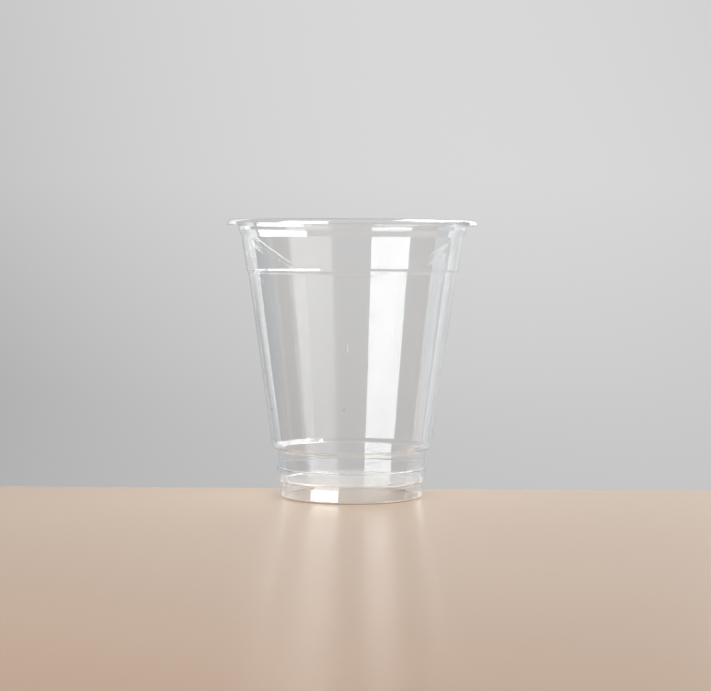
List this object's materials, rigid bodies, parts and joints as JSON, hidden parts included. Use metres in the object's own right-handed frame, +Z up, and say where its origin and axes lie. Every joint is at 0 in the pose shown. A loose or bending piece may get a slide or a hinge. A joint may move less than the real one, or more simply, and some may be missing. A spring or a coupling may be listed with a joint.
{
  "type": "plastic disposable cup",
  "caption": "Clear tapered cold-drink cup formed from one plastic sheet, with a turned-down lip, a lid band, a small step in the wall, a stacking ledge and a raised floor inside a foot ring.",
  "frame": {"origin": "centre of the foot ring, in the plane that stands on the table", "axes": "+Z up along the cup's axis towards the mouth; the cup is round, so +X and +Y are free, with +Y away from the picture's camera"},
  "size_m": [0.098, 0.098, 0.1083],
  "materials": {
    "clear_plastic": "clear gloss"
  },
  "bodies": {
    "root": {"cup": "clear_plastic"}
  },
  "joints": []
}
